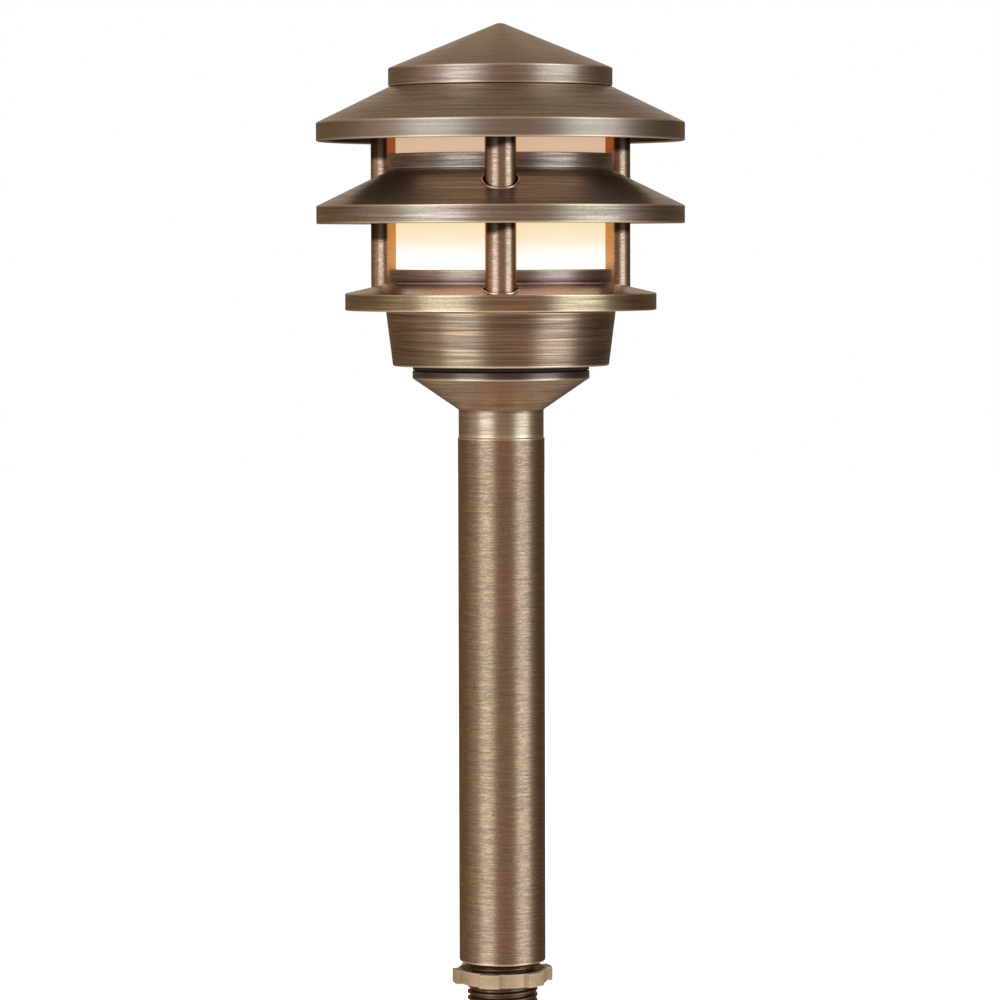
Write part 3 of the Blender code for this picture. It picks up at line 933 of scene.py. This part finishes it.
stem_finish = brushed_brass(
    "brushed_stem", (0.415, 0.265, 0.157), 12.7, 52.6, length=6, width=0.22, mix=(0.5, 0.45, 0.05),
    contrast=0.95, clouding=0.5, changes=[(scuff, (0.13, 0.08, 0.05))],
)
hand_over(turned("turned_stem", [
    (STEM_BORE, stem_top, 0.2), (stem_radius, stem_top, 0.28, 0.5), (stem_radius, stem_top - 0.6, 0),
    (stem_radius, 1.6, 0), (stem_radius, 0, 0.5), (STEM_BORE, 0, 0.3),
], stem_finish, NARROW), "antique_brass", "stem")

# %% [markdown]
# ## Posts and screws
# Short round spacers stand between the tiers, and a long countersunk screw ties each pair from
# below the plate. A blank is turned once and the post circle tree sets three of it.

# %% Turn the posts and set them round the circle
POST_BRASS = (0.62, 0.43, 0.31)
POST_PAINTED_SHADE = (0.07, 0.037, 0.018)
POST_PLACES = ("front", "back_right", "back_left")
post_radius = reach("lower_post_back_right") - POST_REACH


def tube(node, inner, outer, inner_easing, outer_easing):
    """Corners of a plain tube as tall as its node."""
    foot, top = ends(node)
    return [(inner, top, inner_easing), (outer, top, outer_easing),
            (outer, foot, outer_easing), (inner, foot, inner_easing)]


def painted_shade_under_roof(rim_foot):
    """Painted shade on the tops of the posts under a roof; it reaches lower behind and on the left."""
    foot = STEM_FOOT + rim_foot * MM

    def mask(where):
        split = split_up(where)
        on_left = ramp(split["X"], -0.002, 0.002, 1.3 * MM, 0.0)
        behind = ramp(split["Y"], -0.02, 0.01)
        more_behind = ramp(split["X"], -0.02, 0.02, 1.8 * MM, 0.8 * MM)
        lowered = times_plus(behind, more_behind, on_left)
        height = plus(split["Z"], lowered)
        return ramp(height, foot - 2.7 * MM, foot - 0.8 * MM, smooth=True)
    return mask


def painted_lamp_glow(where):
    """Painted reflection of the glowing glass: the side of a post that faces the lamp is coloured warm."""
    radius = length_of(vector_sum("MULTIPLY", where, (1, 1, 0)))
    return ramp(radius, (POST_CIRCLE - 2.0) * MM, (POST_CIRCLE - 2.9) * MM, smooth=True)


def painted_edge_glow(where):
    """Painted reflection of the glowing glass on the front post's two edges."""
    depth = times(split_up(where)["Y"], -1)
    edge = ramp(depth, (POST_CIRCLE + 2.6) * MM, (POST_CIRCLE + 1.4) * MM, smooth=True)
    return times(edge, ramp(depth, 0.0, 0.01))


def posts(tier, seed, rim_foot, glow_reflection_colour, edge_reflection_colour):
    """The three spacers of one tier."""
    # The changes paint shade on the posts' tops, and the warm reflection of the glowing glass on their lamp
    # side and on the front post's edges.
    finish = brushed_brass(
        f"brushed_{tier}_posts", POST_BRASS, 4.5, seed, length=2.5, mix=(0.4, 0.4, 0.2), gloss=0.30,
        lacquer=0.15, contrast=0.6, changes=[
            (painted_shade_under_roof(rim_foot), POST_PAINTED_SHADE), (painted_lamp_glow, glow_reflection_colour), (painted_edge_glow, edge_reflection_colour),
        ],
    )
    corners = tube(f"{tier}_post_front", SCREW_HOLE, post_radius, BREAK, 0.3)
    spacers = turned_thrice(f"turned_{tier}_posts", corners, finish, 64, closed=True)
    hand_over(spacers, "post_brass", *[f"{tier}_post_{place}" for place in POST_PLACES])


# The last two colours are the painted reflections of the glowing glass.
posts("upper", 61.0, upper_rim_foot, (0.50, 0.175, 0.05), (0.22, 0.11, 0.055))
posts("lower", 68.5, middle_rim_foot, (0.62, 0.30, 0.10), (0.70, 0.27, 0.09))

# %% Turn the tie screws and sink a hexagon into each head
SCREW_BRASS = (0.62, 0.46, 0.28)
SHANK = 2.0
HEX_RADIUS = 1.45
HEX_DEPTH = 1.3
screw_finish = brushed_brass("screw_finish", SCREW_BRASS, 3, 75.4, length=3, gloss=0.32)
head_face = low("tie_screw_front")
screws = turned_thrice("turned_screws", [
    (0, screw_top), (SHANK, screw_top, 0.4), (SHANK, head_face + screw_head - SHANK, 0.3),
    (screw_head, head_face, 0.12), (0, head_face),
], screw_finish, 48)
milled(screws, turned_thrice("hexagons", [
    (0, head_face + HEX_DEPTH + 0.4), (HEX_RADIUS, head_face + HEX_DEPTH, 0),
    (HEX_RADIUS, head_face + 0.15, 0), (HEX_RADIUS + 0.4, head_face - 0.25, 0), (0, head_face - 0.25),
], screw_finish, 6))
hand_over(screws, "screw_brass", *[f"tie_screw_{place}" for place in POST_PLACES])

# %% [markdown]
# ## Threaded nipple
# A thread is a helix: its groove climbs one pitch for each turn. The nipple is turned as a plain
# tube with many fine rows, and a tree then draws each point in towards the axis by an amount that
# depends on its height less its share of a turn. The groove fades out at both ends, as a cut
# thread does.

# %% Build the thread tree
def about_the_axis(tree):
    """A point's height, its angle round the axis, and its place with the height left out."""
    split = split_up(source(tree, "GeometryNodeInputPosition"))
    angle = sum_of("ARCTAN2", split["Y"], split["X"])
    return split["Z"], angle, point_at(split["X"], split["Y"], 0)


def push_outer_side(given, flat, distance):
    """Moves every point beyond "Outer side" away from the axis, and closes the tree."""
    shift = vector_sum("MULTIPLY", vector_sum("NORMALIZE", flat), distance)
    outer = wire("FunctionNodeCompare", {0: length_of(flat), 1: given["Outer side"]},
                 data_type="FLOAT", operation="GREATER_THAN")
    moved = {"Geometry": given["Mesh"], "Selection": outer, "Offset": shift}
    return close_tree(wire("GeometryNodeSetPosition", moved), given["Finish"])


def thread_tree():
    sizes = ["Pitch", "Depth", "Lower end", "Upper end", "Fade", "Outer side"]
    tree, given = new_tree("Cut a thread", sizes=sizes)
    height, angle, flat = about_the_axis(tree)
    climbed = over(height, given["Pitch"])
    phase = minus(climbed, over(angle, FULL_TURN))
    wave = sum_of("COSINE", times(phase, FULL_TURN))
    groove = ramp(wave, -0.75, 0.85, smooth=True)
    above = minus(height, given["Lower end"])
    below = minus(given["Upper end"], height)
    fade = ramp(sum_of("MINIMUM", above, below), 0.0, given["Fade"])
    cut = times(times(groove, fade), given["Depth"])
    return push_outer_side(given, flat, times(cut, -1))


THREAD = thread_tree()
print("the thread tree has", len(THREAD.nodes), "nodes")

# %% Turn the nipple and cut its thread
NIPPLE_BRASS = (0.22, 0.145, 0.10)
THREAD_PITCH = 1.814
THREAD_DEPTH = 1.15
THREAD_CREST = 10.35
NIPPLE_BORE = 7.9
ROWS_A_PITCH = 16
nipple_foot, nipple_top = ends("threaded_nipple")
thread_top = -GAP
row_height = THREAD_PITCH / ROWS_A_PITCH
row_count = int((thread_top - nipple_foot - 1.2) / row_height)
rows = [(THREAD_CREST, thread_top - 0.3 - row_height * row, 0) for row in range(row_count)]
nipple_finish = cast_brass("nipple_finish", NIPPLE_BRASS, 0.9, 0.36, 83.0, (0.45, 0.32, 0.21))
thread = (THREAD, {
    "Pitch": THREAD_PITCH * MM,
    "Depth": THREAD_DEPTH * MM,
    "Lower end": STEM_FOOT + nipple_foot * MM,
    "Upper end": STEM_FOOT + (thread_top - 0.3) * MM,
    "Fade": 1.3 * MM,
    "Outer side": (THREAD_CREST - 0.3) * MM,
    "Finish": nipple_finish,
})
hand_over(turned("turned_nipple", [
    (NIPPLE_BORE, nipple_top, 0.3), (SPIGOT, nipple_top, 0.3), (SPIGOT, thread_top, 0), *rows,
    (THREAD_CREST - 1.1, nipple_foot, 0.1), (NIPPLE_BORE, nipple_foot, 0.3),
], nipple_finish, 128, more=[thread]), "nipple_brass", "threaded_nipple")

# %% [markdown]
# ## Lock nut
# The nut is a dished ring with six lugs that a wrench or a screwdriver tip drives. The ring is
# turned first. A second tree then pushes its outer wall out wherever a lug stands, which keeps the
# eased edges of the wall on the lugs too.

# %% Build the lug tree
LUG_FLANK = 0.009  # half the angle over which a lug's side rises


def lug_tree():
    sizes = ["First lug", "Lug width", "Lug height", "Outer side"]
    tree, given = new_tree("Push out lugs", ["Lugs"], sizes)
    _, angle, flat = about_the_axis(tree)
    angle = minus(angle, given["First lug"])
    spacing = over(FULL_TURN, given["Lugs"])
    from_lug = sum_of("PINGPONG", angle, over(spacing, 2))
    beyond = minus(from_lug, over(given["Lug width"], 2))
    lug = ramp(beyond, -LUG_FLANK, LUG_FLANK, 1.0, 0.0)
    return push_outer_side(given, flat, times(lug, given["Lug height"]))


LUGS = lug_tree()
print("the lug tree has", len(LUGS.nodes), "nodes")

# %% Turn the nut and push out its lugs
NUT_BRASS = (0.70, 0.51, 0.335)
NUT_RADIUS = 13.2
NUT_BORE = 10.65
NUT_DISH = 12.5
LUG_RADIUS = 14.8
nut_foot, nut_top = ends("lock_nut")
nut_finish = cast_brass("nut_finish", NUT_BRASS, 0.45, 0.52, 91.7, (0.80, 0.64, 0.46))
lugs = (LUGS, {
    "Lugs": 6,
    "First lug": math.radians(-106),
    "Lug width": math.radians(25),
    "Lug height": (LUG_RADIUS - NUT_RADIUS) * MM,
    "Outer side": (NUT_DISH + 0.35) * MM,
    "Finish": nut_finish,
})
hand_over(turned("turned_lock_nut", [
    (NUT_BORE, nut_top - 1.7, 0.15), (NUT_DISH, nut_top, 0.1), (NUT_RADIUS, nut_top, 0.25),
    (NUT_RADIUS, nut_foot, 0.3), (NUT_BORE, nut_foot, 0.3),
], nut_finish, 360, more=[lugs]), "nut_brass", "lock_nut")

# %% [markdown]
# ## Frosted glass
# The glass is sandblasted, so it hides the lamp and glows as a whole. It is brightest beside the
# lamp and turns to a warmer, dimmer peach higher up. Transparent glass with a lamp inside would
# be slow to render and grainy, so the glow is laid over the height of the cylinder by a ramp.

# %% The glowing glass
FROST_SIZE = 0.4
GLOW = [  # height above the stem's foot, colour of the glow there
    (199.9, (1.10, 1.06, 1.00)),
    (206.5, (1.00, 0.96, 0.92)),
    (208.5, (0.93, 0.88, 0.84)),
    (210.5, (0.90, 0.81, 0.70)),
    (213.0, (0.87, 0.72, 0.48)),
    (216.5, (0.84, 0.68, 0.41)),
    (228.0, (0.72, 0.50, 0.33)),
    (240.0, (0.62, 0.40, 0.26)),
    (251.0, (0.50, 0.31, 0.19)),
]


def colour_ramp(value, stops):
    """Colours in a row, for a value from the first stop to the last."""
    start, end = stops[0][0], stops[-1][0]
    node = add_node(value.id_data, "ShaderNodeValToRGB", {"Fac": value})
    elements = node.color_ramp.elements
    while len(elements) < len(stops):
        elements.new(0.5)
    for element, (at, colour) in zip(elements, stops):
        element.position = (at - start) / (end - start)
        element.color = (*colour, 1.0)
    return node.outputs[0]


def frosted_glass(name):
    material, shader, where = new_finish(name)
    share = height_mask(GLOW[0][0], GLOW[-1][0])(where)
    brightest = max(max(colour) for _, colour in GLOW)
    stops = [(at, [part / brightest for part in colour]) for at, colour in GLOW]
    frost = speckle(where, FROST_SIZE, 2.0)
    plug(shader, {
        "Base Color": (0.30, 0.27, 0.235, 1.0),
        "Roughness": ramp(frost, 0.3, 0.7, 0.5, 0.62),
        "Specular IOR Level": 0.25,
        "Normal": relief(frost, 0.15, 0.02),
        "Emission Color": colour_ramp(share, stops),
        "Emission Strength": brightest,
    })
    return material


GLASS_WALL = 2.0
glass_radius = reach("glass_cylinder")
glass_bore = glass_radius - GLASS_WALL
glass_corners = tube("glass_cylinder", glass_bore, glass_radius, 0.4, 0.4)
glass = turned("turned_glass", glass_corners, frosted_glass("frosted_glass_glow"))
hand_over(glass, "frosted_glass", "glass_cylinder")

# %% [markdown]
# ## Seals
# Two flat rubber seals, one over the glass and one under the housing. The lower one is the
# near-black line above the collar's disc.

# %% Turn the seals
RUBBER_GRAIN = 1 / 1.8


def black_rubber(name):
    material, shader, where = new_finish(name)
    grain = speckle(where, RUBBER_GRAIN, 3.0)
    plug(shader, {
        "Base Color": blend(grain, (0.010, 0.006, 0.006), (0.028, 0.020, 0.018)),
        "Roughness": ramp(grain, 0.3, 0.7, 0.62, 0.8),
        "Normal": relief(grain, 0.3, 0.03),
    })
    return material


rubber = black_rubber("seal_rubber_black")
for node, inner, outer in (("glass_seal", glass_bore - 0.3, reach("glass_seal")),
                           ("housing_seal", housing_hole, collar_disc - 0.1)):
    corners = tube(node, inner, outer, 0.25, 0.1)
    hand_over(turned(f"turned_{node}", corners, rubber), "seal_rubber", node)

# %% [markdown]
# ## Lamp and holder
# They sit inside the frosted glass and are seen only as its glow. They are made all the same, for
# anyone who takes the light apart: a ceramic holder with a stepped body, and a small capsule lamp.

# %% Turn the holder
CERAMIC_CLOUD = 1 / 0.3
HOLDER_STEP = 186.0
HOLDER_BODY = 8.0
HOLDER_GROOVE = 7.4


def white_ceramic(name):
    material, shader, where = new_finish(name)
    cloud = speckle(where, CERAMIC_CLOUD, 3.0)
    plug(shader, {
        "Base Color": blend(cloud, (0.74, 0.72, 0.67), (0.84, 0.82, 0.78)),
        "Roughness": ramp(cloud, 0.3, 0.7, 0.35, 0.5),
        "Coat Weight": 0.3,
        "Coat Roughness": 0.2,
    })
    return material


holder_foot, holder_top = ends("lamp_holder")
holder_base = reach("lamp_holder")
hand_over(turned("turned_holder", [
    (0, holder_top), (HOLDER_BODY, holder_top, 0.6), (HOLDER_BODY, HOLDER_STEP + 3.2, 0.2),
    (HOLDER_GROOVE, HOLDER_STEP + 2.6, 0.2), (HOLDER_GROOVE, HOLDER_STEP + 1.6, 0.2),
    (HOLDER_BODY, HOLDER_STEP + 1.0, 0.2), (HOLDER_BODY, HOLDER_STEP, 0.4),
    (holder_base, HOLDER_STEP, 0.5), (holder_base, holder_foot, 0.5), (0, holder_foot),
], white_ceramic("holder_ceramic_white"), NARROW, closed=False), "holder_ceramic", "lamp_holder")


# %% Turn the lamp
def lamp_glow(name):
    material, shader, _ = new_finish(name)
    facing = source(shader.id_data, "ShaderNodeLayerWeight", "Facing", {"Blend": 0.4})
    plug(shader, {
        "Base Color": blend(facing, (1.0, 0.93, 0.80), (0.92, 0.80, 0.62)),
        "Roughness": 0.08,
        "Emission Color": (1.0, 0.86, 0.64, 1.0),
        "Emission Strength": 1.5,
    })
    return material


lamp_radius = reach("lamp_bulb")
lamp_foot, lamp_top = ends("lamp_bulb")
hand_over(turned("turned_lamp", [
    (0, lamp_top), (lamp_radius * 0.55, lamp_top, 2.0), (lamp_radius, lamp_top - 3.4, 2.5),
    (lamp_radius, lamp_foot + 4.0, 0.8), (lamp_radius * 0.75, lamp_foot + 2.0, 0.6),
    (lamp_radius * 0.75, lamp_foot, 0.3), (0, lamp_foot),
], lamp_glow("lamp_glass_glow"), NARROW, closed=False), "lamp_glass", "lamp_bulb")

# %% [markdown]
# ## Studio
# The light was photographed on white between two tall softboxes, one to the left of the camera
# and one further round to the right, with little light from above. The floor is pale, and shows
# only a faint shadow where the light stands on it. Floor and backdrop are kept out of the metal's
# reflections, as black flags would do in a studio, because white all round would wash out the
# dark sides of the stem.

# %% The floor
WHITE = (1.0, 1.0, 1.0)
FLOOR_HALF = 3.0


def pale_floor():
    mesh = bpy.data.meshes.new("floor")
    corners = [(-1, -1), (1, -1), (1, 1), (-1, 1)]
    mesh.from_pydata([(x * FLOOR_HALF, y * FLOOR_HALF, 0) for x, y in corners], [], [(0, 1, 2, 3)])
    floor = new_object("floor", mesh)
    material, shader, where = new_finish("pale_floor")
    tree = shader.id_data
    plug(shader, {
        "Base Color": (0.8, 0.8, 0.8, 1.0),
        "Roughness": 0.9,
        "Specular IOR Level": 0.0,
        "Emission Color": (*WHITE, 1.0),
        # The floor's glow is dimmed round the light's foot: painted shade there, under the real contact
        # shadow.
        "Emission Strength": ramp(length_of(where), 0.02, 0.055, 0.55, 1.02, smooth=True),
    })
    below = source(tree, "ShaderNodeNewGeometry", "Backfacing")
    clear = source(tree, "ShaderNodeBsdfTransparent")
    either = wire("ShaderNodeMixShader", {0: below, 1: shader.outputs[0], 2: clear})
    plug(tree.nodes["Material Output"], {"Surface": either})
    mesh.materials.append(material)
    floor.visible_glossy = False
    floor.visible_diffuse = False
    floor.visible_shadow = False


pale_floor()

# %% The room, as the metal sees it
ALL_ROUND = [  # direction from the camera's side round to the right in degrees, and the light there
    (-180, (0.13, 0.11, 0.085)),
    (-130, (0.20, 0.165, 0.11)),
    (-106, (0.23, 0.185, 0.14)),
    (-80, (0.46, 0.395, 0.335)),
    (-48, (0.33, 0.265, 0.22)),
    (-12, (0.26, 0.187, 0.152)),
    (12, (0.26, 0.187, 0.152)),
    (90, (0.21, 0.172, 0.135)),
    (115, (0.095, 0.075, 0.055)),
    (150, (0.13, 0.11, 0.09)),
    (180, (0.13, 0.11, 0.085)),
]
STEEP = (0.1, 0.08, 0.065)
OVERHEAD = (0.135, 0.105, 0.075)
UNDER_FRONT = (0.56, 0.52, 0.46)
UNDER_BACK = (0.34, 0.31, 0.27)
BEHIND = (0.38, 0.365, 0.35)


def surroundings():
    world = bpy.data.worlds.new("studio")
    world.use_nodes = True
    tree = world.node_tree
    split = split_up(source(tree, "ShaderNodeTexCoord", "Generated"))
    turn = sum_of("ARCTAN2", split["X"], times(split["Y"], -1))
    level = colour_ramp(ramp(turn, -math.pi, math.pi), ALL_ROUND)
    steepness = sum_of("ABSOLUTE", split["Z"])
    level = blend(ramp(steepness, 0.4, 1.0), level, STEEP)
    above = ramp(split["Z"], 0.3, 0.75, smooth=True)
    level = blend(above, level, OVERHEAD, "ADD")
    towards_back = ramp(split["Y"], -0.25, 0.15, smooth=True)
    underneath = blend(towards_back, UNDER_FRONT, UNDER_BACK)
    below = ramp(split["Z"], -0.25, -0.7, smooth=True)
    level = blend(below, level, underneath, "ADD")
    far_back = ramp(split["Y"], 0.78, 0.95, smooth=True)
    behind = times(far_back, ramp(split["Z"], 0.05, 0.2, smooth=True))
    level = blend(behind, level, BEHIND, "ADD")
    seen = source(tree, "ShaderNodeLightPath", "Is Camera Ray")
    plug(tree.nodes["Background"], {"Color": blend(seen, level, WHITE)})
    bpy.context.scene.world = world


surroundings()
bpy.context.scene.view_settings.view_transform = "Standard"
print("the room changes at", len(ALL_ROUND), "directions")

# %% Softboxes
COOL = (0.80, 0.97, 1.08)
FEATHER = 0.7  # share of a softbox's half width over which its light falls off
DISTANCE = 1.4
WIDTH = 1.5
LOWEST = -0.9
HIGHEST = 2.6


def softbox(name, azimuth, radiance):
    """A tall soft light with a bright middle; azimuth counts from the camera, to the right."""
    light = bpy.data.lights.new(name, "AREA")
    light.shape = "RECTANGLE"
    light.size = WIDTH
    light.size_y = HIGHEST - LOWEST
    light.energy = radiance * math.pi * WIDTH * (HIGHEST - LOWEST)
    light.color = COOL
    light.use_nodes = True
    tree = light.node_tree
    across = split_up(source(tree, "ShaderNodeNewGeometry", "Parametric"))["X"]
    from_middle = sum_of("ABSOLUTE", minus(across, 0.5))
    strength = ramp(from_middle, 0.5, 0.5 * (1 - FEATHER), smooth=True)
    plug(tree.nodes["Emission"], {"Strength": strength})
    print(f"{name}: {light.energy:.1f} W at {azimuth} degrees")
    turn = math.radians(azimuth)
    away = Vector((math.sin(turn), -math.cos(turn), 0))
    stand = new_object(name, light)
    stand.location = away * DISTANCE + Vector((0, 0, (LOWEST + HIGHEST) / 2))
    stand.rotation_euler = away.to_track_quat("Z", "Y").to_euler()
    stand.visible_camera = False


softbox("left_softbox", -41, 1.22)
softbox("right_softbox", 60, 1.36)

# %% [markdown]
# ## Camera
# The photograph was taken with a long lens from about 1.2 m, with the camera a little below the
# upper roof and tilted down slightly. The picture leans by a small fraction of a degree.

# %% Place the camera
CAMERA_DISTANCE = 1.2066
CAMERA_HEIGHT = 0.23307
CAMERA_ASIDE = -0.0002
PITCH = math.radians(3.56)
LEAN = math.radians(0.15)
lens = bpy.data.cameras.new("camera")
lens.lens = 148.36
lens.sensor_width = 36.0
camera = new_object("camera", lens)
camera.location = (CAMERA_ASIDE, -CAMERA_DISTANCE, CAMERA_HEIGHT)
camera.rotation_euler = (math.pi / 2 - PITCH, LEAN, 0)
bpy.context.scene.camera = camera
print("the camera stands", CAMERA_DISTANCE, "m in front, with a", lens.lens, "mm lens")
